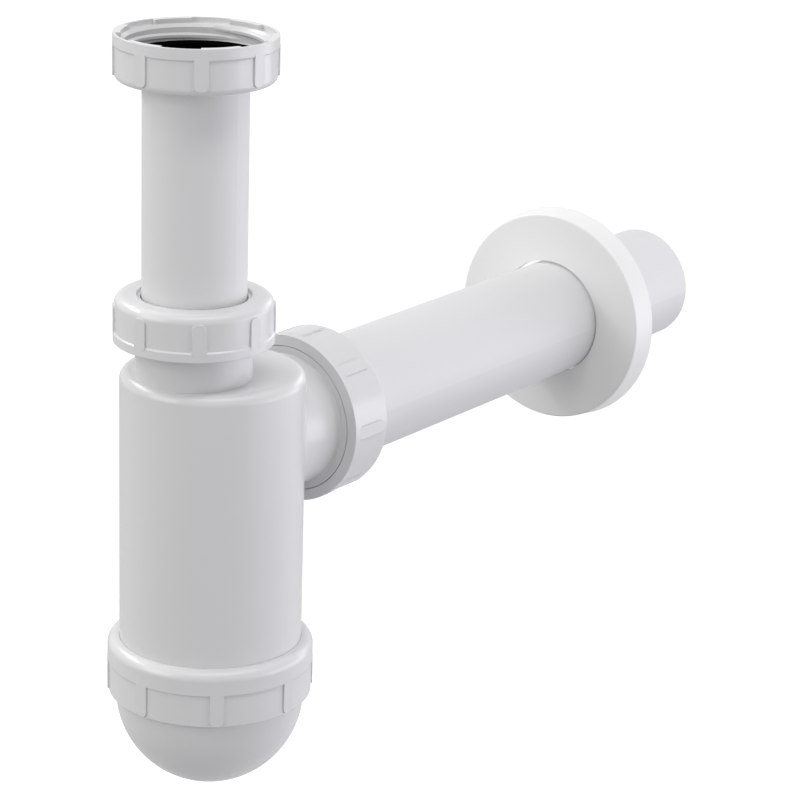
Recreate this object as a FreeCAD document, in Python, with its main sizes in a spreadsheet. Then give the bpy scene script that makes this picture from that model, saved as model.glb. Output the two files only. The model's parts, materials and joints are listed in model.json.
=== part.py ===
import FreeCAD, Part
import math
import os
import Sketcher

os.makedirs("parts", exist_ok=True)
doc = FreeCAD.newDocument("bottle_trap")

# Driving dimensions in millimetres and degrees, in the order that water meets the pieces
sheet = doc.addObject("Spreadsheet::Sheet", "dims")
SIZES = {
    "slip_gap": 0.3,
    "thread_gap": 1.5,
    "rib_count": 8,
    "rib_width": 4.3,
    "rib_depth": 0.45,
    "rib_corner": 1.7,
    "rib_turn_angle": 1.2,
    "rim_chamfer": 0.8,
    "gasket_thick": 2.5,
    "gasket_over": 0.7,
    "gasket_inset": 0.4,
    "tube_radius": 16,
    "tube_wall": 1.8,
    "tube_dip": 69,
    "flange_lip": 3.6,
    "flange_thick": 2.2,
    "top_wall": 3.4,
    "top_clear": 0.9,
    "top_floor": 3,
    "top_rise": 6.3,
    "top_band": 3.75,
    "top_round": 2,
    "top_tip": 1.4,
    "rim_step": 1,
    "rim_rebate": 1.5,
    "rim_cone": 1,
    "rim_lip": 0.9,
    "pocket_count": 6,
    "pocket_angle": 30,
    "washer_thick": 1.6,
    "seal_head": 1,
    "seal_cone": 5.8,
    "seal_taper": 0.8,
    "neck_drop": 73.4,
    "neck_wall": 2.6,
    "neck_room": 6,
    "neck_floor": 2.2,
    "neck_clear": 1.5,
    "neck_sink": 0.9,
    "neck_height": 14.3,
    "neck_band": 3.1,
    "neck_round": 2.8,
    "neck_tip": 2.65,
    "neck_skin": 1.4,
    "neck_gap": 11.6,
    "neck_bore_gap": 0.5,
    "body_radius": 28.75,
    "body_wall": 2.55,
    "body_roof": 2.2,
    "tube_clear": 1.1,
    "body_round": 3.2,
    "outlet_drop": 25.7,
    "body_below": 76,
    "skirt_length": 11,
    "skirt_step": 1.05,
    "boss_skin": 2.9,
    "boss_length": 8.95,
    "boss_round": 3,
    "passage_step": 2,
    "collar_rim": 3.6,
    "collar_thick": 1.5,
    "collar_round": 0.6,
    "outlet_wall": 3,
    "outlet_room": 4.3,
    "outlet_floor": 2.2,
    "outlet_clear": 0.7,
    "outlet_height": 17.1,
    "outlet_band": 3.4,
    "outlet_round": 0.5,
    "outlet_tip": 2.2,
    "outlet_lip": 0.2,
    "pipe_radius": 20,
    "pipe_wall": 1.8,
    "pipe_gap": 1,
    "pipe_run": 195.1,
    "pipe_bevel": 0.6,
    "mark_inset": 51.5,
    "mark_width": 1.6,
    "mark_depth": 0.25,
    "rosette_run": 132.3,
    "rosette_radius": 38.3,
    "rosette_depth": 9,
    "rosette_wall": 1.8,
    "rosette_round": 0.6,
    "rosette_taper": 1.1,
    "rosette_gap": 0.5,
    "rosette_rise": 0.4,
    "cup_lap": 14,
    "cup_rim": 3.3,
    "cup_round": 3.2,
    "cup_band": 7.8,
    "cup_ring": 18.6,
    "lip_gap": 0.06,
    "lip_height": 3.4,
    "dome_inset": 2.7,
    "dome_wall": 2.6,
    "dome_drop": 5.2,
    "cup_gasket_thick": 2,
}

# Sizes that follow from the driving ones, so that fitting pieces keep together
FORMULAS = {
    "flange_radius": "tube_radius + flange_lip",
    "gasket_radius": "flange_radius + gasket_over",
    "gasket_hole": "tube_radius - tube_wall + gasket_inset",
    "top_thread": "gasket_radius + top_clear",
    "top_radius": "top_thread + top_wall",
    "top_base": "top_floor + flange_thick + gasket_thick",
    "top_height": "top_rise + top_base",
    "neck_hole": "tube_radius + neck_clear",
    "neck_thread": "tube_radius + neck_room",
    "neck_radius": "neck_thread + neck_wall",
    "neck_bore": "tube_radius + neck_bore_gap",
    "neck_tube": "neck_bore + neck_skin",
    "body_bore": "body_radius - body_wall",
    "body_offset": "body_bore - tube_radius - tube_clear",
    "skirt_root": "body_radius - skirt_step",
    "cup_thread": "skirt_root + thread_gap",
    "cup_radius": "cup_thread + cup_rim",
    "dome_radius": "cup_radius - dome_inset",
    "body_top": "neck_drop + neck_height + neck_gap",
    "outlet_depth": "body_top + outlet_drop",
    "body_end": "outlet_depth + body_below",
    "tube_depth": "outlet_depth + tube_dip",
    "dome_end": "body_end + dome_drop + dome_radius",
    "passage_radius": "pipe_radius - passage_step",
    "boss_radius": "passage_radius + boss_skin",
    "collar_radius": "pipe_radius + collar_rim",
    "collar_face": "body_offset + body_radius + boss_length",
    "outlet_hole": "pipe_radius + outlet_clear",
    "outlet_thread": "pipe_radius + outlet_room",
    "outlet_radius": "outlet_thread + outlet_wall",
    "outlet_reach": "collar_face + outlet_height",
    "pipe_end": "outlet_reach + pipe_run",
    "rosette_face": "outlet_reach + rosette_run",
}
CELLS = [(alias, str(value)) for alias, value in SIZES.items()]
CELLS += [(alias, "=" + formula) for alias, formula in FORMULAS.items()]
for row, (alias, text) in enumerate(CELLS, 1):
    sheet.set("A%d" % row, alias)
    sheet.set("B%d" % row, text)
    sheet.setAlias("B%d" % row, alias)
doc.recompute()

# How far each kind of piece is tipped from facing up
DOWN_ANGLE = 180
BACK_ANGLE = 90
WALL_ANGLE = -90

# Where a sketch's lines lie before its sizes pull them into place
ROUGH_SPOT = 60
ROUGH_REACH = 20
ROUGH_CORNER = 1


# Shared helpers: bodies, sketches fixed point by point, turned, padded and rounded features
def origin(body, role):
    return next(item for item in body.Origin.OriginFeatures if item.Role == role)


def size(alias):
    return float(sheet.get(alias))


def make_body(label, place=None, tip_angle=0, turn_angle=0):
    body = doc.addObject("PartDesign::Body", label)
    body.Label = label
    tilt = FreeCAD.Rotation(FreeCAD.Vector(1, 0, 0), tip_angle)
    spin = FreeCAD.Rotation(FreeCAD.Vector(0, 0, 1), turn_angle)
    body.Placement = FreeCAD.Placement(FreeCAD.Vector(), tilt.multiply(spin))
    for letter, text in (place or {}).items():
        body.setExpression("Placement.Base." + letter, text)
    return body


def make_sketch(body, name, plane="XZ_Plane", offset=None):
    sketch = body.newObject("Sketcher::SketchObject", "%s_%s_sketch" % (body.Label, name))
    sketch.AttachmentSupport = (origin(body, plane), [""])
    sketch.MapMode = "FlatFace"
    for letter, text in (offset or {}).items():
        sketch.setExpression("AttachmentOffset.Base." + letter, text)
    return sketch


def pin_point(sketch, edge, end, pair):
    for kind, axis, text in zip(("DistanceX", "DistanceY"), (-2, -1), pair):
        if text == "0":
            sketch.addConstraint(Sketcher.Constraint("PointOnObject", edge, end, axis))
            continue
        index = sketch.addConstraint(Sketcher.Constraint(kind, -1, 1, edge, end, ROUGH_SPOT))
        sketch.setExpression("Constraints[%d]" % index, text)


def join(sketch, first, second):
    sketch.addConstraint(Sketcher.Constraint("Coincident", first, 2, second, 1))


def outline(sketch, points):
    count = len(points)
    steps = [2 * math.pi * i / count for i in range(count)]
    spots = [(ROUGH_SPOT + ROUGH_REACH * math.cos(a), ROUGH_SPOT + ROUGH_REACH * math.sin(a)) for a in steps]
    start = [FreeCAD.Vector(*spot, 0) for spot in spots]
    for i in range(count):
        sketch.addGeometry(Part.LineSegment(start[i], start[(i + 1) % count]), False)
    for i in range(count):
        join(sketch, i, (i + 1) % count)
    for i, pair in enumerate(points):
        pin_point(sketch, i, 1, pair)


def turned(body, kind, name, points, axis="V_Axis", angle=None, **where):
    sketch = make_sketch(body, name, **where)
    outline(sketch, points)
    feature = body.newObject("PartDesign::" + kind, "%s_%s" % (body.Label, name))
    feature.Profile = sketch
    feature.ReferenceAxis = (sketch, [axis])
    feature.Angle = 360
    if angle:
        feature.Midplane = True
        feature.setExpression("Angle", angle)
    doc.recompute()
    return feature


def around(body, feature, count):
    pattern = body.newObject("PartDesign::PolarPattern", feature.Label + "_pattern")
    pattern.Originals = [feature]
    pattern.Axis = (origin(body, "Z_Axis"), [""])
    pattern.Angle = 360
    pattern.setExpression("Occurrences", count)
    body.Tip = pattern
    doc.recompute()
    return pattern


def ring_edges(shape, axis):
    found = []
    for i, edge in enumerate(shape.Edges, 1):
        curve = edge.Curve
        if isinstance(curve, Part.Circle) and abs(curve.Axis.dot(axis)) > 0.999:
            found.append((round(curve.Center.dot(axis), 4), curve.Radius, "Edge%d" % i))
    return found


def ring_edge(shape, axis, level, width):
    found = ring_edges(shape, axis)
    end = level(found)[0]
    return [width(item[1:] for item in found if item[0] == end)[1]]


def rounded(body, base, edges, radius, name="round"):
    fillet = body.newObject("PartDesign::Fillet", "%s_%s" % (body.Label, name))
    fillet.Base = (base, edges)
    fillet.setExpression("Radius", radius)
    doc.recompute()
    return fillet


UP = FreeCAD.Vector(0, 0, 1)
OUT = FreeCAD.Vector(0, 1, 0)


# Grip ribs: round-ended pads on the core, evenly spaced, that run into the full-width band
def grip(body, radius, tip, top):
    core = "(%s - dims.rib_depth)" % radius
    sketch = make_sketch(body, "rib", offset={"x": "-dims.rib_width / 2", "z": core + " - dims.rib_depth"})
    width = 4 * ROUGH_CORNER
    low = 2 * ROUGH_CORNER
    bend = low + ROUGH_CORNER
    near = ROUGH_CORNER * (1 - math.sqrt(0.5))
    stops = [(0, ROUGH_REACH), (0, bend), (ROUGH_CORNER, low)]
    stops += [(width - ROUGH_CORNER, low), (width, bend), (width, ROUGH_REACH)]
    a, b, c, d, e, f = [FreeCAD.Vector(*stop, 0) for stop in stops]
    left = FreeCAD.Vector(near, low + near, 0)
    right = FreeCAD.Vector(width - near, low + near, 0)
    sketch.addGeometry(Part.LineSegment(a, b), False)
    sketch.addGeometry(Part.Arc(b, left, c), False)
    sketch.addGeometry(Part.LineSegment(c, d), False)
    sketch.addGeometry(Part.Arc(d, right, e), False)
    sketch.addGeometry(Part.LineSegment(e, f), False)
    sketch.addGeometry(Part.LineSegment(f, a), False)
    corner = "(%s + dims.rib_corner)" % tip
    join(sketch, 4, 5)
    join(sketch, 5, 0)
    sketch.addConstraint(Sketcher.Constraint("Tangent", 0, 2, 1, 1))
    sketch.addConstraint(Sketcher.Constraint("Tangent", 1, 2, 2, 1))
    sketch.addConstraint(Sketcher.Constraint("Tangent", 2, 2, 3, 1))
    sketch.addConstraint(Sketcher.Constraint("Tangent", 3, 2, 4, 1))
    pin_point(sketch, 0, 1, ("0", top))
    pin_point(sketch, 0, 2, ("0", corner))
    pin_point(sketch, 2, 1, ("dims.rib_corner", tip))
    pin_point(sketch, 4, 1, ("dims.rib_width", corner))
    pin_point(sketch, 4, 2, ("dims.rib_width", top))
    rib = body.newObject("PartDesign::Pad", body.Label + "_rib")
    rib.Profile = sketch
    rib.setExpression("Length", "2 * dims.rib_depth")
    doc.recompute()
    return around(body, rib, "dims.rib_count")


# Union nut with its closed end at the local zero and its thread mouth upwards
def grip_nut(label, key, hole, mouth, floor, place, tip_angle=0, turn_angle=0):
    body = make_body(label, place, tip_angle, turn_angle)
    outer = "dims.%s_radius" % key
    height = "dims.%s_height" % key
    core = "%s - dims.rib_depth" % outer
    band = "(%s - dims.%s_band)" % (height, key)
    side = [(core, "0"), (core, band), (outer, band + " + dims.rib_depth"), (outer, height)]
    shell = turned(body, "Revolution", "shell", hole + side + mouth + floor)
    rounded(body, shell, ring_edge(shell.Shape, UP, min, max), "dims.%s_round" % key)
    grip(body, outer, "dims.%s_tip" % key, band + " + 2 * dims.rib_depth")
    return body


# Inlet: gasket, flanged dip tube and the nut that pulls both against the basin waste
gasket = make_body("inlet_gasket", {"z": "-dims.gasket_thick"})
turned(gasket, "Revolution", "ring", [
    ("dims.gasket_hole", "0"),
    ("dims.gasket_radius", "0"),
    ("dims.gasket_radius", "dims.gasket_thick"),
    ("dims.gasket_hole", "dims.gasket_thick"),
])

tube = make_body("inlet_tube", {"z": "-dims.tube_depth"})
tube_top = "(dims.tube_depth - dims.gasket_thick)"
tube_inner = "dims.tube_radius - dims.tube_wall"
turned(tube, "Revolution", "wall", [
    (tube_inner, "0"),
    ("dims.tube_radius", "0"),
    ("dims.tube_radius", tube_top + " - dims.flange_thick"),
    ("dims.flange_radius", tube_top + " - dims.flange_thick"),
    ("dims.flange_radius", tube_top),
    (tube_inner, tube_top),
])

top_hole = "dims.tube_radius + dims.slip_gap"
nest = "dims.gasket_radius + dims.slip_gap"
rebate = "dims.top_thread + dims.rim_step"
rebate_floor = "dims.top_height - dims.rim_rebate"
top_nut = grip_nut(
    "top_nut", "top",
    hole=[(top_hole, "0")],
    mouth=[(rebate, "dims.top_height"), (rebate, rebate_floor)],
    floor=[
        ("dims.top_thread", rebate_floor + " - dims.rim_cone"),
        ("dims.top_thread", "dims.top_base"),
        (nest, "dims.top_base"),
        (nest, "dims.top_floor"),
        (top_hole, "dims.top_floor"),
    ],
    place={"z": "-dims.top_base"}, turn_angle=-size("rib_turn_angle"))
pocket_in = "dims.top_thread + dims.rim_step / 2"
pocket_out = "dims.top_radius - dims.rim_lip"
pocket_over = "dims.top_height + dims.rim_rebate"
pocket = turned(top_nut, "Groove", "pocket", [
    (pocket_in, rebate_floor),
    (pocket_out, rebate_floor),
    (pocket_out, pocket_over),
    (pocket_in, pocket_over),
], angle="dims.pocket_angle")
around(top_nut, pocket, "dims.pocket_count")


# Slip joint: nut, washer and tapered seal, stacked from the nut's closed end
def slip_joint(key, pipe, hole, mouth, place, tip_angle, turn_angle=0):
    inner = "%s + dims.slip_gap" % pipe
    under = "dims.%s_floor" % key
    floor = [("dims.%s_thread" % key, under), (hole[0][0], under)]
    grip_nut(key + "_nut", key, hole, mouth, floor, place, tip_angle, turn_angle)
    below = "%s + dims.washer_thick" % under
    brim = "dims.%s_thread - dims.thread_gap + dims.slip_gap" % key
    washer = make_body(key + "_washer", place, tip_angle)
    turned(washer, "Revolution", "ring", [(inner, under), (brim, under), (brim, below), (inner, below)])
    mouth = "%s + dims.seal_head" % below
    tip = "%s + dims.seal_cone" % mouth
    thin = "%s + dims.seal_taper" % inner
    thick = "%s + dims.seal_taper" % thin
    seal = make_body(key + "_seal", place, tip_angle)
    points = [(inner, below), (thick, below), (thick, mouth), (thin, tip), (inner, tip)]
    turned(seal, "Revolution", "cone", points)


neck_hug = "dims.tube_radius + dims.slip_gap"
slip_joint(
    "neck", "dims.tube_radius",
    hole=[(neck_hug, "dims.neck_sink"), ("dims.neck_hole", "dims.neck_sink"), ("dims.neck_hole", "0")],
    mouth=[
        ("dims.neck_thread + dims.rim_chamfer", "dims.neck_height"),
        ("dims.neck_thread", "dims.neck_height - dims.rim_chamfer"),
    ],
    place={"z": "-dims.neck_drop"}, tip_angle=DOWN_ANGLE, turn_angle=size("rib_turn_angle"))
outlet_lip = "dims.collar_radius + dims.outlet_lip"
lip_end = "dims.outlet_height - dims.collar_thick"
slip_joint(
    "outlet", "dims.pipe_radius",
    hole=[("dims.outlet_hole", "0")],
    mouth=[(outlet_lip, "dims.outlet_height"), (outlet_lip, lip_end), ("dims.outlet_thread", lip_end)],
    place={"y": "dims.outlet_reach", "z": "-dims.outlet_depth"}, tip_angle=BACK_ANGLE)

# Bottle: turned shell, eccentric neck and side boss, then the bores are cut through all of them
bottle = make_body("bottle_body", {"y": "dims.body_offset", "z": "-dims.body_end"})
roof = "(dims.body_below + dims.outlet_drop)"
shell = turned(bottle, "Revolution", "shell", [
    ("0", "0"),
    ("dims.skirt_root", "0"),
    ("dims.skirt_root", "dims.skirt_length"),
    ("dims.body_radius", "dims.skirt_length"),
    ("dims.body_radius", roof),
    ("0", roof),
])
rounded(bottle, shell, ring_edge(shell.Shape, UP, max, max), "dims.body_round", "shoulder")

neck_at = {"z": "dims.body_offset"}
neck_root = "dims.neck_thread - dims.thread_gap"
neck_stack = "dims.neck_floor + dims.washer_thick + dims.seal_head"
neck_mouth = "(dims.body_end - dims.neck_drop - (%s))" % neck_stack
neck_flare = "(%s + dims.neck_gap + dims.rim_chamfer)" % roof
turned(bottle, "Revolution", "neck", [
    ("0", roof + " - dims.body_roof"),
    ("dims.neck_tube", roof + " - dims.body_roof"),
    ("dims.neck_tube", neck_flare),
    (neck_root, neck_flare + " + %s - dims.neck_tube" % neck_root),
    (neck_root, neck_mouth),
    ("0", neck_mouth),
], offset=neck_at)

boss_at = {"y": "dims.body_below", "x": "-dims.body_offset"}
boss_root = "dims.outlet_thread - dims.thread_gap"
boss_stack = "dims.outlet_floor + dims.washer_thick + dims.seal_head"
boss_mouth = "(dims.outlet_reach - (%s))" % boss_stack
socket_stop = "(dims.collar_face + dims.collar_thick)"
boss = turned(bottle, "Revolution", "boss", [
    ("dims.body_offset", "0"),
    ("dims.body_offset", "dims.boss_radius"),
    ("dims.collar_face", "dims.boss_radius"),
    ("dims.collar_face", "dims.collar_radius"),
    (socket_stop, "dims.collar_radius"),
    (socket_stop, boss_root),
    (boss_mouth, boss_root),
    (boss_mouth, "0"),
], axis="H_Axis", plane="YZ_Plane", offset=boss_at)


# The boss runs softly into the round bottle wall and into its own collar
def blend_edges(shape):
    found = []
    for i, edge in enumerate(shape.Edges, 1):
        middle = edge.valueAt((edge.FirstParameter + edge.LastParameter) / 2)
        spots = [vertex.Point for vertex in edge.Vertexes] + [middle]
        along = [math.hypot(p.x, p.z - size("body_below")) for p in spots]
        from_axis = [math.hypot(p.x, p.y) for p in spots]
        if all(abs(d - size("boss_radius")) < 0.05 for d in along):
            if all(d < size("body_radius") + 0.05 for d in from_axis):
                found.append("Edge%d" % i)
    return found


blend = rounded(bottle, boss, blend_edges(boss.Shape), "dims.boss_round", "blend")
rims = [item for item in ring_edges(blend.Shape, OUT) if abs(item[1] - size("boss_radius")) < 0.01]
rounded(bottle, blend, [max(rims)[2]], "dims.collar_round", "collar")

ceiling = "(%s - dims.body_roof)" % roof
turned(bottle, "Groove", "chamber", [
    ("0", "0"),
    ("dims.body_bore", "0"),
    ("dims.body_bore", ceiling),
    ("0", ceiling),
])
neck_seat = "dims.tube_radius + 2 * dims.slip_gap + dims.seal_taper"
turned(bottle, "Groove", "neck_bore", [
    ("0", ceiling + " - dims.body_roof"),
    ("dims.neck_bore", ceiling + " - dims.body_roof"),
    ("dims.neck_bore", neck_mouth + " - dims.seal_cone"),
    (neck_seat, neck_mouth + " - dims.seal_cone"),
    (neck_seat + " + dims.seal_taper", neck_mouth),
    ("0", neck_mouth),
], offset=neck_at)
socket_bore = "dims.pipe_radius + dims.slip_gap"
socket_seat = "dims.pipe_radius + 2 * dims.slip_gap + dims.seal_taper"
turned(bottle, "Groove", "socket", [
    ("dims.body_offset", "0"),
    ("dims.body_offset", "dims.passage_radius"),
    (socket_stop, "dims.passage_radius"),
    (socket_stop, socket_bore),
    (boss_mouth + " - dims.seal_cone", socket_bore),
    (boss_mouth + " - dims.seal_cone", socket_seat),
    (boss_mouth, socket_seat + " + dims.seal_taper"),
    (boss_mouth, "0"),
], axis="H_Axis", plane="YZ_Plane", offset=boss_at)

# Outlet: plain pipe with a depth mark for the wall socket, and the cover plate that slides on it
pipe_start = "(%s + dims.pipe_gap)" % socket_stop
pipe = make_body("outlet_pipe", {"y": pipe_start, "z": "-dims.outlet_depth"}, WALL_ANGLE)
pipe_length = "(dims.pipe_end - %s)" % pipe_start
pipe_inner = "dims.pipe_radius - dims.pipe_wall"
mark_low = "(%s - dims.mark_inset)" % pipe_length
mark_floor = "dims.pipe_radius - dims.mark_depth"
turned(pipe, "Revolution", "wall", [
    (pipe_inner, "0"),
    ("dims.pipe_radius", "0"),
    ("dims.pipe_radius", mark_low),
    (mark_floor, mark_low),
    (mark_floor, mark_low + " + dims.mark_width"),
    ("dims.pipe_radius", mark_low + " + dims.mark_width"),
    ("dims.pipe_radius", pipe_length + " - dims.pipe_bevel"),
    ("dims.pipe_radius - dims.pipe_bevel", pipe_length),
    (pipe_inner, pipe_length),
])

plate_place = {"y": "dims.rosette_face", "z": "dims.rosette_rise - dims.outlet_depth"}
plate = make_body("wall_rosette", plate_place, WALL_ANGLE)
plate_hole = "dims.pipe_radius + dims.rosette_gap"
plate_inner = "dims.rosette_radius - dims.rosette_wall"
plate_front = "dims.rosette_radius - dims.rosette_taper"
plate_shell = turned(plate, "Revolution", "shell", [
    (plate_hole, "0"),
    (plate_front, "0"),
    ("dims.rosette_radius", "dims.rosette_depth"),
    (plate_inner, "dims.rosette_depth"),
    (plate_inner + " - dims.rosette_taper", "dims.rosette_wall"),
    (plate_hole, "dims.rosette_wall"),
])
rounded(plate, plate_shell, ring_edge(plate_shell.Shape, UP, min, max), "dims.rosette_round")

# Cup: ribbed ring and dome in one piece, with its flat gasket on the inner shelf
cup = make_body("bottle_cup", {"y": "dims.body_offset", "z": "-dims.dome_end"}, 0, -size("rib_turn_angle"))
cup_top = "(dims.dome_radius + dims.dome_drop + dims.cup_lap)"
ring_low = "(%s - dims.cup_ring)" % cup_top
band_low = "(%s - dims.cup_band)" % cup_top
shelf = "(dims.dome_radius + dims.dome_drop - dims.cup_gasket_thick)"
cup_core = "(dims.cup_radius - dims.rib_depth)"
lip_bore = "dims.body_radius + dims.lip_gap"
ring = turned(cup, "Revolution", "ring", [
    ("0", "dims.dome_radius"),
    ("dims.dome_radius", "dims.dome_radius"),
    (cup_core + " - dims.rib_depth", ring_low),
    (cup_core, ring_low + " + dims.rib_depth"),
    (cup_core, band_low),
    ("dims.cup_radius", band_low),
    ("dims.cup_radius", cup_top),
    (lip_bore, cup_top),
    (lip_bore, cup_top + " - dims.lip_height"),
    ("dims.cup_thread", cup_top + " - dims.lip_height"),
    ("dims.cup_thread", shelf),
    ("0", shelf),
])
rounded(cup, ring, ring_edge(ring.Shape, UP, max, max), "dims.cup_round")
grip(cup, "dims.cup_radius", ring_low + " + dims.rib_depth", band_low + " + dims.rib_depth")


def half_ball(kind, name, radius):
    ball = cup.newObject("PartDesign::" + kind, "bottle_cup_" + name)
    ball.Angle1 = -90
    ball.Angle2 = 0
    ball.setExpression("Radius", radius)
    ball.setExpression("Placement.Base.z", "dims.dome_radius")
    doc.recompute()


dome_inner = "(dims.dome_radius - dims.dome_wall)"
half_ball("AdditiveSphere", "dome", "dims.dome_radius")
half_ball("SubtractiveSphere", "hollow", dome_inner)
turned(cup, "Groove", "throat", [
    ("0", "dims.dome_radius"),
    (dome_inner, "dims.dome_radius"),
    (dome_inner, shelf),
    ("0", shelf),
])

seat_place = {"y": "dims.body_offset", "z": "-dims.body_end - dims.cup_gasket_thick"}
seat_ring = make_body("cup_gasket", seat_place)
turned(seat_ring, "Revolution", "ring", [
    ("dims.body_bore", "0"),
    ("dims.cup_thread - dims.slip_gap", "0"),
    ("dims.cup_thread - dims.slip_gap", "dims.cup_gasket_thick"),
    ("dims.body_bore", "dims.cup_gasket_thick"),
])
doc.recompute()

# Every feature has to be sound before its piece is written
for item in doc.Objects:
    if "Invalid" in item.State or "Error" in item.State:
        raise RuntimeError("failed feature " + item.Label)
bodies = [item for item in doc.Objects if item.TypeId == "PartDesign::Body"]
for body in bodies:
    if body.Shape.isNull() or not body.Shape.isValid() or len(body.Shape.Solids) != 1:
        raise RuntimeError("unsound piece " + body.Label)
for body in bodies:
    body.Shape.exportStep("parts/%s.step" % body.Label)
    print(body.Label, round(body.Shape.Volume))
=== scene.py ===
import json
import math

import bmesh
import bpy
from mathutils import Matrix, Vector


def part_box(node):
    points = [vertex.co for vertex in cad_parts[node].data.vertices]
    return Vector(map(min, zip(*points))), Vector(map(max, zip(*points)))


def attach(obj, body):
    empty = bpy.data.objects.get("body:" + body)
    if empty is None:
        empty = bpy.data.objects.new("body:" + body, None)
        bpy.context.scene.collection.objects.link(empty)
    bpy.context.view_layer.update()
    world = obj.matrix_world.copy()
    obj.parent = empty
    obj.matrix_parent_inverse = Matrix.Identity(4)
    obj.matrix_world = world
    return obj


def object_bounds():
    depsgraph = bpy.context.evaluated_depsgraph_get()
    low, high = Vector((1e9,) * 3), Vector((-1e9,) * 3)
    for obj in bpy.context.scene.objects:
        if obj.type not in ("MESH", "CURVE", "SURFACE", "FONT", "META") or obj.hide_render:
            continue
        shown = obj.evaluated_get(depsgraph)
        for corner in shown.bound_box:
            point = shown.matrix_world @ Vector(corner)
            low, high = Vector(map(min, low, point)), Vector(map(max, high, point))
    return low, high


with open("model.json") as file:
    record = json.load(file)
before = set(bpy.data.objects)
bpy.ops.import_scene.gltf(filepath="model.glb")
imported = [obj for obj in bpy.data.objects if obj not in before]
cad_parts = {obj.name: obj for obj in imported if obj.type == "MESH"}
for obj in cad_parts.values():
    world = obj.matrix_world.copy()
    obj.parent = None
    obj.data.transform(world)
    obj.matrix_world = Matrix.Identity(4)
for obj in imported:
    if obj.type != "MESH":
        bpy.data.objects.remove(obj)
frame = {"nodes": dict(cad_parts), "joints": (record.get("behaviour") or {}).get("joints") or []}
cad_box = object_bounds()
nodes = frame["nodes"]


# Dip tube: the upright 32 mm tube, extruded in white polypropylene, with a flange at its head that
# the top nut grips. Extrusion leaves faint lines along it and a satin skin that spreads the light.
# Lengths here and below are in metres.
WHITE = (0.7, 0.7, 0.705)
TUBE_ROUGHNESS = 0.5
EXTRUDED = {"grain": 900, "tone": 0.02, "peel": 0.1}
UPRIGHT = (1, 1, 0.04)
PLASTIC_IOR = 1.49
GLOW_SHARE = 0.05
GLOW_DEPTH = (0.0014, 0.0013, 0.0012)
CLOUD_SCALE = 45
CLOUD_DETAIL = 3
GRAIN_DETAIL = 5
GRAIN_HEIGHT = 0.0002
ROUGHNESS_SPREAD = 0.06
EDGE_RADIUS = 0.00025
EDGE_SAMPLES = 6


def add(material, kind, **settings):
    node = material.node_tree.nodes.new(kind)
    for name, value in settings.items():
        setattr(node, name, value)
    return node


def noise(material, place, scale, detail):
    """A cloudy pattern from 0 to 1 over the piece's own place."""
    node = add(material, "ShaderNodeTexNoise")
    node.inputs["Scale"].default_value = scale
    node.inputs["Detail"].default_value = detail
    material.node_tree.links.new(place, node.inputs["Vector"])
    return node.outputs["Fac"]


def spread(material, value, low, high):
    """A value from 0 to 1, stretched to run from low to high."""
    node = add(material, "ShaderNodeMapRange")
    node.inputs["To Min"].default_value = low
    node.inputs["To Max"].default_value = high
    material.node_tree.links.new(value, node.inputs["Value"])
    return node.outputs["Result"]


def grained(material, pattern, strength):
    """A fine surface grain that follows the pattern."""
    node = add(material, "ShaderNodeBump")
    node.inputs["Strength"].default_value = strength
    node.inputs["Distance"].default_value = GRAIN_HEIGHT
    material.node_tree.links.new(pattern, node.inputs["Height"])
    return node


def satin(name, colour, roughness, stretch, grain, tone, peel):
    """White plastic: slight cloudiness, a grain that can run one way, and softened edges."""
    material = bpy.data.materials.new(name)
    material.use_nodes = True
    link = material.node_tree.links.new
    shader = material.node_tree.nodes["Principled BSDF"]
    shader.inputs["IOR"].default_value = PLASTIC_IOR
    shader.inputs["Subsurface Weight"].default_value = GLOW_SHARE
    shader.inputs["Subsurface Radius"].default_value = GLOW_DEPTH
    shader.inputs["Subsurface Scale"].default_value = 1

    place = add(material, "ShaderNodeTexCoord")
    along = add(material, "ShaderNodeMapping")
    along.inputs["Scale"].default_value = stretch
    link(place.outputs["Object"], along.inputs["Vector"])

    cloud = noise(material, along.outputs["Vector"], CLOUD_SCALE, CLOUD_DETAIL)
    tint = add(material, "ShaderNodeVectorMath", operation="SCALE")
    tint.inputs[0].default_value = colour
    link(spread(material, cloud, 1 - tone, 1 + tone), tint.inputs["Scale"])
    link(tint.outputs["Vector"], shader.inputs["Base Color"])

    fine = noise(material, along.outputs["Vector"], grain, GRAIN_DETAIL)
    polish = spread(material, fine, roughness - ROUGHNESS_SPREAD, roughness + ROUGHNESS_SPREAD)
    link(polish, shader.inputs["Roughness"])

    soft_edge = add(material, "ShaderNodeBevel", samples=EDGE_SAMPLES)
    soft_edge.inputs["Radius"].default_value = EDGE_RADIUS
    skin = grained(material, fine, peel)
    link(soft_edge.outputs["Normal"], skin.inputs["Normal"])
    link(skin.outputs["Normal"], shader.inputs["Normal"])
    return material


def finish_node(name, material):
    nodes[name].data.materials.clear()
    nodes[name].data.materials.append(material)


finish_node("inlet_tube", satin("drawn_tube", WHITE, TUBE_ROUGHNESS, UPRIGHT, **EXTRUDED))


# Flat gasket: a black rubber ring, stamped from sheet, that lies on the tube's flange inside the
# top nut and takes the rim of the basin waste.
RUBBER = (0.0006, 0.0006, 0.0007)
RUBBER_BLOOM = [2 * part for part in RUBBER]
RUBBER_SHEEN = 0.001
BLOOM_SCALE = 120
BLOOM_DETAIL = 4
SMOOTHEST = 0.55
DULLEST = 0.75
SAND_SCALE = 2500
SAND_DETAIL = 2
SAND_STRENGTH = 0.25


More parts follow.
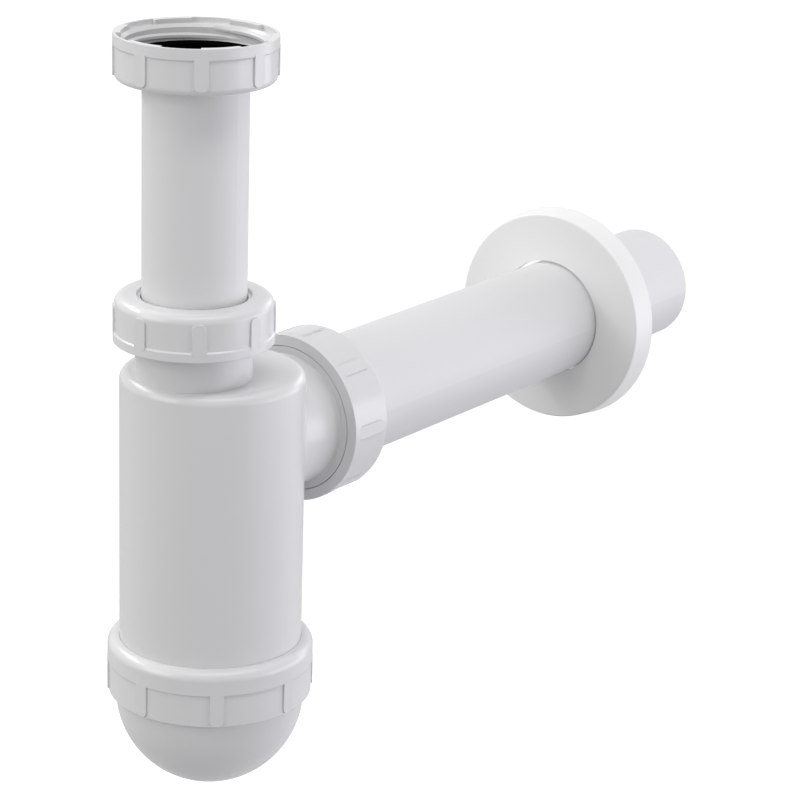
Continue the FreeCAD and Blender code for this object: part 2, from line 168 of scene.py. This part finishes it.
def rubber(name):
    """Black rubber: dull skin with a pale bloom in patches and a fine sanded grain."""
    material = bpy.data.materials.new(name)
    material.use_nodes = True
    link = material.node_tree.links.new
    shader = material.node_tree.nodes["Principled BSDF"]
    shader.inputs["Specular IOR Level"].default_value = RUBBER_SHEEN
    place = add(material, "ShaderNodeTexCoord").outputs["Object"]
    bloom = noise(material, place, BLOOM_SCALE, BLOOM_DETAIL)
    tint = add(material, "ShaderNodeMix", data_type="RGBA")
    tint.inputs["A"].default_value = (*RUBBER, 1)
    tint.inputs["B"].default_value = (*RUBBER_BLOOM, 1)
    link(bloom, tint.inputs["Factor"])
    link(tint.outputs["Result"], shader.inputs["Base Color"])
    link(spread(material, bloom, SMOOTHEST, DULLEST), shader.inputs["Roughness"])
    skin = grained(material, noise(material, place, SAND_SCALE, SAND_DETAIL), SAND_STRENGTH)
    link(skin.outputs["Normal"], shader.inputs["Normal"])
    return material


black_rubber = rubber("black_rubber")
finish_node("inlet_gasket", black_rubber)


# Top union nut: moulded in the same white plastic, with round-ended grip ribs outside and a
# right-hand pipe thread inside, above the gasket, that the basin waste screws into.
NUT_ROUGHNESS = 0.24
MOULDED = {"grain": 260, "tone": 0.005, "peel": 0.01}
EVEN = (1, 1, 1)
PIPE_PITCH = 0.002309
TOP_ROOT = 0.0212
TOP_RIDGE = 0.0008
TOP_RIDGE_BASE = 0.0022
TOP_THREAD_START = 0.0008
TOP_THREAD_LENGTH = 0.0025
RIDGE_SINK = 0.0002
CREST_SHARE = 0.4
RUN_OUT_TURNS = 0.12
STEPS_PER_TURN = 96
SHARP_ANGLE = math.radians(35)
moulded = satin("moulded_plastic", WHITE, NUT_ROUGHNESS, EVEN, **MOULDED)
joints = {joint["name"]: joint for joint in frame["joints"]}


def thread(name, body, joint, first_ridge, root, height, length, pitch, base):
    """A right-hand ridge wound round a joint's line; a negative height stands inwards from a bore."""
    along = Vector([abs(part) for part in joints[joint]["axis"]])
    centre = Vector(joints[joint]["pos_m"])
    start = centre + along * (first_ridge - along.dot(centre))
    first = Vector((along.y, along.z, along.x))
    second = along.cross(first)
    steps = int(STEPS_PER_TURN * length / pitch)
    sunk = root - math.copysign(RIDGE_SINK, height)
    flat = base * CREST_SHARE
    mesh = bmesh.new()
    rings = []
    for step in range(steps + 1):
        turns = step / STEPS_PER_TURN
        turns_left = (steps - step) / STEPS_PER_TURN
        angle = 2 * math.pi * turns
        out = first * math.cos(angle) + second * math.sin(angle)
        crest = root + height * min(1, turns / RUN_OUT_TURNS, turns_left / RUN_OUT_TURNS)
        middle = start + along * pitch * turns
        profile = [(sunk, -base / 2), (crest, -flat / 2), (crest, flat / 2), (sunk, base / 2)]
        rings.append([mesh.verts.new(middle + out * far + along * shift) for far, shift in profile])
    for one, two in zip(rings, rings[1:]):
        for i in range(len(one)):
            j = (i + 1) % len(one)
            mesh.faces.new((one[i], one[j], two[j], two[i]))
    mesh.faces.new(rings[0][::-1])
    mesh.faces.new(rings[-1])
    bmesh.ops.recalc_face_normals(mesh, faces=mesh.faces)
    data = bpy.data.meshes.new(name)
    mesh.to_mesh(data)
    mesh.free()
    data.materials.append(moulded)
    data.shade_smooth()
    data.set_sharp_from_angle(angle=SHARP_ANGLE)
    ridge = bpy.data.objects.new(name, data)
    bpy.context.scene.collection.objects.link(ridge)
    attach(ridge, body)


gasket_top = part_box("inlet_gasket")[1].z
finish_node("top_nut", moulded)
thread("top_nut_thread", "top_nut", "top_nut_spin", gasket_top + TOP_THREAD_START, TOP_ROOT, -TOP_RIDGE,
       TOP_THREAD_LENGTH, PIPE_PITCH, TOP_RIDGE_BASE)


# Neck joint: a moulded nut screwed on the bottle's neck presses a slip washer and a tapered black
# seal round the dip tube, so that the tube can be set to height and clamped. The nut's ridge runs
# half a pitch off the neck's own ridge, with room between them.
WASHER = (0.66, 0.665, 0.67)
WASHER_ROUGHNESS = 0.5
WASHER_FINISH = {"grain": 1200, "tone": 0.03, "peel": 0.2}
RIDGE = 0.0009
RIDGE_BASE = 0.001
THREAD_ROOM = 0.0015
NECK_ROOT = 0.0205
NECK_THREAD_START = 0.0048
NECK_NUT_THREAD_LENGTH = 0.0088
bottle_low, bottle_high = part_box("bottle_body")
neck_first_ridge = bottle_high.z - NECK_THREAD_START
neck_nut_first_ridge = neck_first_ridge - PIPE_PITCH - PIPE_PITCH / 2
washer_plastic = satin("washer_plastic", WASHER, WASHER_ROUGHNESS, EVEN, **WASHER_FINISH)
finish_node("neck_seal", black_rubber)
finish_node("neck_washer", washer_plastic)
finish_node("neck_nut", moulded)
thread("neck_nut_thread", "neck_nut", "neck_nut_turn", neck_nut_first_ridge, NECK_ROOT + THREAD_ROOM,
       -RIDGE, NECK_NUT_THREAD_LENGTH, PIPE_PITCH, RIDGE_BASE)


# Bottle: one white moulding with an eccentric neck, a side boss and a skirt below. Each of the
# three carries an outside thread for the nut or cup that screws on it.
NECK_THREAD_LENGTH = 0.0042
BOSS_ROOT = 0.0228
BOSS_THREAD_START = 0.0099
BOSS_THREAD_LENGTH = 0.0089
CUP_PITCH = 0.003
SKIRT_ROOT = 0.0277
SKIRT_RIDGE_BASE = 0.0013
SKIRT_THREAD_START = 0.0011
SKIRT_THREAD_LENGTH = 0.0086
boss_first_ridge = bottle_high.y - BOSS_THREAD_START
skirt_first_ridge = bottle_low.z + SKIRT_THREAD_START
finish_node("bottle_body", moulded)
thread("neck_thread", "bottle", "neck_nut_turn", neck_first_ridge, NECK_ROOT, RIDGE,
       NECK_THREAD_LENGTH, PIPE_PITCH, RIDGE_BASE)
thread("boss_thread", "bottle", "outlet_nut_turn", boss_first_ridge, BOSS_ROOT, RIDGE,
       BOSS_THREAD_LENGTH, PIPE_PITCH, RIDGE_BASE)
thread("skirt_thread", "bottle", "cup_turn", skirt_first_ridge, SKIRT_ROOT, RIDGE,
       SKIRT_THREAD_LENGTH, CUP_PITCH, SKIRT_RIDGE_BASE)


# Outlet joint: the same nut, slip washer and tapered seal as at the neck, in the 40 mm size. The
# nut's plain lip closes over the boss's collar, with only a hairline between them.
OUTLET_NUT_THREAD_LENGTH = 0.0096
outlet_nut_first_ridge = boss_first_ridge + PIPE_PITCH / 2
finish_node("outlet_seal", black_rubber)
finish_node("outlet_washer", washer_plastic)
finish_node("outlet_nut", moulded)
thread("outlet_nut_thread", "outlet_nut", "outlet_nut_turn", outlet_nut_first_ridge,
       BOSS_ROOT + THREAD_ROOM, -RIDGE, OUTLET_NUT_THREAD_LENGTH, PIPE_PITCH, RIDGE_BASE)


# Outlet pipe: plain 40 mm pipe, extruded in the same plastic and cut square, with a shallow depth
# mark turned into it behind the rosette. Its faint lines run out towards the wall.
OUTWARD = (1, 0.04, 1)
finish_node("outlet_pipe", satin("drawn_pipe", WHITE, TUBE_ROUGHNESS, OUTWARD, **EXTRUDED))


# Wall rosette: a thin dished cover plate, moulded in a whiter plastic with a softer sheen, that
# slides loosely along the pipe until its rim lies on the wall. Its white is set lighter still,
# as painted light on its face.
# Lighter than the trap's white: partly the rosette's own whiter plastic, partly painted light for its
# face.
ROSETTE_WHITE_AND_PAINTED_LIGHT = (0.86, 0.86, 0.855)
ROSETTE_ROUGHNESS = 0.42
finish_node("wall_rosette", satin("rosette_plastic", ROSETTE_WHITE_AND_PAINTED_LIGHT, ROSETTE_ROUGHNESS, EVEN, **MOULDED))


# Cup: the moulded lower end with its own grip ribs. It screws on the bottle's skirt against a flat
# black gasket, and comes off to be emptied.
CUP_THREAD_LENGTH = 0.007
cup_first_ridge = skirt_first_ridge + CUP_PITCH / 2
finish_node("cup_gasket", black_rubber)
finish_node("bottle_cup", moulded)
thread("cup_thread", "bottle_cup", "cup_turn", cup_first_ridge, SKIRT_ROOT + THREAD_ROOM, -RIDGE,
       CUP_THREAD_LENGTH, CUP_PITCH, SKIRT_RIDGE_BASE)


# Studio: a wide pale floor well below the trap, and white surroundings. The camera sees both as
# white, reflections see them darker, and the light that they give the trap is lower still.
FLOOR_SIZE = 12
FLOOR_DROP = 0.5
FLOOR_GREY = (0.45, 0.45, 0.45, 1)
FLOOR_ROUGHNESS = 0.8
FLOOR_LIFT = 0.8
FLOOR_MIRRORED = 0.25
SKY_SEEN = 1
SKY_MIRRORED = 0.9
AMBIENT = 0.455
PURE_WHITE = (1, 1, 1, 1)


def shown(holder, lit, seen, mirrored):
    """One level for rays that light the trap, others where the camera or a reflection looks."""
    rays = add(holder, "ShaderNodeLightPath").outputs
    level = spread(holder, rays["Is Camera Ray"], lit, seen)
    for ray in ("Is Glossy Ray", "Is Transmission Ray"):
        larger = add(holder, "ShaderNodeMath", operation="MAXIMUM")
        holder.node_tree.links.new(level, larger.inputs[0])
        holder.node_tree.links.new(spread(holder, rays[ray], lit, mirrored), larger.inputs[1])
        level = larger.outputs["Value"]
    return level


bpy.ops.mesh.primitive_plane_add(size=FLOOR_SIZE, location=(0, 0, cad_box[0].z - FLOOR_DROP))
floor = bpy.context.object
floor.name = "studio_floor"
floor_paint = bpy.data.materials.new("floor_paint")
floor_paint.use_nodes = True
paint = floor_paint.node_tree.nodes["Principled BSDF"]
paint.inputs["Base Color"].default_value = FLOOR_GREY
paint.inputs["Roughness"].default_value = FLOOR_ROUGHNESS
paint.inputs["Emission Color"].default_value = PURE_WHITE
floor_level = shown(floor_paint, 0, FLOOR_LIFT, FLOOR_MIRRORED)
floor_paint.node_tree.links.new(floor_level, paint.inputs["Emission Strength"])
floor.data.materials.append(floor_paint)

world = bpy.data.worlds.new("studio")
bpy.context.scene.world = world
world.use_nodes = True
sky = world.node_tree.nodes["Background"]
sky.inputs["Color"].default_value = PURE_WHITE
sky_level = shown(world, AMBIENT, SKY_SEEN, SKY_MIRRORED)
world.node_tree.links.new(sky_level, sky.inputs["Strength"])


# Camera: a long lens at the photograph's angle, a little above the trap. Its angles, lens and place
# were fitted to the outlines; the place counts right, up and back from the aim, as the camera sees.
AZIMUTH = math.radians(35.986)
ELEVATION = math.radians(18.417)
ROLL = math.radians(1.797)
LENS_MM = 130.77
SENSOR_MM = 36
AIM = Vector((0, 0.06, -0.0876))
PLACE_FROM_AIM = Vector((0.026761, -0.032926, 0.927853))
turn = Matrix.Rotation(AZIMUTH, 4, "Z") @ Matrix.Rotation(math.pi / 2 - ELEVATION, 4, "X")
turn = turn @ Matrix.Rotation(ROLL, 4, "Z")
camera = bpy.data.objects.new("camera", bpy.data.cameras.new("camera"))
camera.data.sensor_width = SENSOR_MM
camera.data.lens = LENS_MM
camera.matrix_world = Matrix.Translation(AIM + turn.to_3x3() @ PLACE_FROM_AIM) @ turn
bpy.context.scene.collection.objects.link(camera)
bpy.context.scene.camera = camera
bpy.context.scene.view_settings.view_transform = "Standard"


# Lamps: soft boxes round the trap, all facing its middle, with their long sides level. The left and
# front ones are neutral, and those on the right a little cooler.
MIDDLE = (cad_box[0] + cad_box[1]) / 2
RIGHT = Vector((math.cos(AZIMUTH), math.sin(AZIMUTH), 0))
NEAR = Vector((math.sin(AZIMUTH), -math.cos(AZIMUTH), 0))
UP = Vector((0, 0, 1))
NEUTRAL = (1, 1, 1)
RIGHT_TINT = (0.92, 0.91, 1.0)
RIGHT_FRONT_TINT = (0.93, 0.92, 1.0)
COOL_TINT = (0.82, 0.89, 1.0)


def lamp(name, place, length, width, power, colour=NEUTRAL):
    """A soft box; its place says how far right, towards the camera and above the middle it is."""
    light = bpy.data.lights.new(name, "AREA")
    light.shape = "RECTANGLE"
    light.size = length
    light.size_y = width
    light.energy = power
    light.color = colour
    holder = bpy.data.objects.new(name, light)
    bpy.context.scene.collection.objects.link(holder)
    right, near, up = place
    offset = RIGHT * right + NEAR * near + UP * up
    back = offset.normalized()
    across = UP.cross(back).normalized()
    facing = Matrix((across, back.cross(across), back)).transposed()
    holder.matrix_world = Matrix.Translation(MIDDLE + offset) @ facing.to_4x4()


lamp("left_lamp", (-1.15, -0.5, 0.95), length=1.1, width=0.3, power=7.6)
lamp("left_front_lamp", (-1, 0.66, 0.42), length=0.8, width=0.8, power=5.2)
lamp("right_lamp", (1.65, -0.15, -0.16), length=2.2, width=0.8, power=13.2, colour=RIGHT_TINT)
lamp("right_front_lamp", (1.3, 0.8, -0.1), length=0.8, width=0.8, power=2.6, colour=RIGHT_FRONT_TINT)
lamp("cool_lamp", (0.95, -1.15, 0.45), length=1.0, width=0.5, power=3.6, colour=COOL_TINT)
lamp("front_lamp", (0.2, 0.45, 1.1), length=1.3, width=0.25, power=4.8)
lamp("strip_lamp", (0, -0.5, 1.1), length=2.4, width=0.06, power=1.8)
